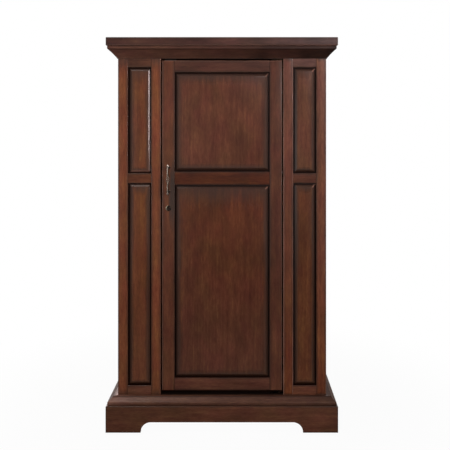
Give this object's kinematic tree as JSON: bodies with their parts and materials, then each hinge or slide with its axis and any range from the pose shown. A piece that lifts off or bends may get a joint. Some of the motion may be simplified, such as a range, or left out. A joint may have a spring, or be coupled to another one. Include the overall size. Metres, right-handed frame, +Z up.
{
  "type": "bar cabinet",
  "caption": "Tall bar cabinet: panelled door between fixed panelled pilasters, cornice above, arched plinth below, bottle racks, shelves and stemware rails inside.",
  "frame": {"origin": "on the floor, under the middle of the whole cabinet's box", "axes": "+X to the right seen from the front, +Y to the back, +Z up; the front faces -Y"},
  "size_m": [0.915, 0.508, 1.5566],
  "materials": {
    "cherry": "dark cherry stain, satin lacquer, dark glaze in the grooves",
    "cherry_inside": "cherry stain, matt lacquer",
    "backing_board": "stained hardboard, matt",
    "pewter": "aged pewter plating, satin",
    "bronze": "dark bronze, satin",
    "steel": "zinc plated",
    "black_plastic": "moulded, matt"
  },
  "bodies": {
    "cabinet": {"top_board": "cherry", "cornice_front": "cherry", "cornice_left": "cherry", "cornice_right": "cherry", "carcass_top": "cherry_inside", "carcass_bottom": "cherry_inside", "back_panel": "backing_board", "left_side_frame": "cherry", "left_side_lower_panel": "cherry", "left_side_upper_panel": "cherry", "right_side_frame": "cherry", "right_side_lower_panel": "cherry", "right_side_upper_panel": "cherry", "left_pilaster_outer_stile": "cherry", "left_pilaster_inner_stile": "cherry", "left_pilaster_bottom_rail": "cherry", "left_pilaster_mid_rail": "cherry", "left_pilaster_top_rail": "cherry", "left_pilaster_lower_panel": "cherry", "left_pilaster_upper_panel": "cherry", "right_pilaster_outer_stile": "cherry", "right_pilaster_inner_stile": "cherry", "right_pilaster_bottom_rail": "cherry", "right_pilaster_mid_rail": "cherry", "right_pilaster_top_rail": "cherry", "right_pilaster_lower_panel": "cherry", "right_pilaster_upper_panel": "cherry", "plinth_front": "cherry", "plinth_left": "cherry", "plinth_right": "cherry", "plinth_back": "cherry", "base_deck": "cherry_inside", "base_moulding_front": "cherry", "base_moulding_left": "cherry", "base_moulding_right": "cherry", "counter_shelf": "cherry_inside", "bottle_shelf": "cherry_inside", "stemware_rack": "cherry_inside", "wine_rack_lower": "cherry_inside", "wine_rack_upper": "cherry_inside", "door_stop_top": "cherry_inside", "door_stop_bottom": "cherry_inside", "magnetic_catch": "black_plastic", "upper_frame_pivot": "bronze", "lower_frame_pivot": "bronze"},
    "door": {"door_lock_stile": "cherry", "door_hinge_stile": "cherry", "door_bottom_rail": "cherry", "door_mid_rail": "cherry", "door_top_rail": "cherry", "door_lower_panel": "cherry", "door_upper_panel": "cherry", "catch_plate": "steel", "door_handle": "pewter", "lock_housing": "pewter", "lock_nut": "steel", "upper_door_pivot": "bronze", "lower_door_pivot": "bronze"},
    "lock_core": {"lock_plug": "pewter", "lock_cam": "steel"}
  },
  "joints": [
    {"name": "door_swing", "type": "hinge", "parent": "cabinet", "child": "door", "pos_m": [0.2275, -0.2015, 0.1512], "axis": [0, 0, 1], "range_deg": [0, 110]},
    {"name": "lock_turn", "type": "hinge", "parent": "door", "child": "lock_core", "pos_m": [-0.2146, -0.2125, 0.8785], "axis": [0, 1, 0], "range_deg": [0, 90]}
  ]
}
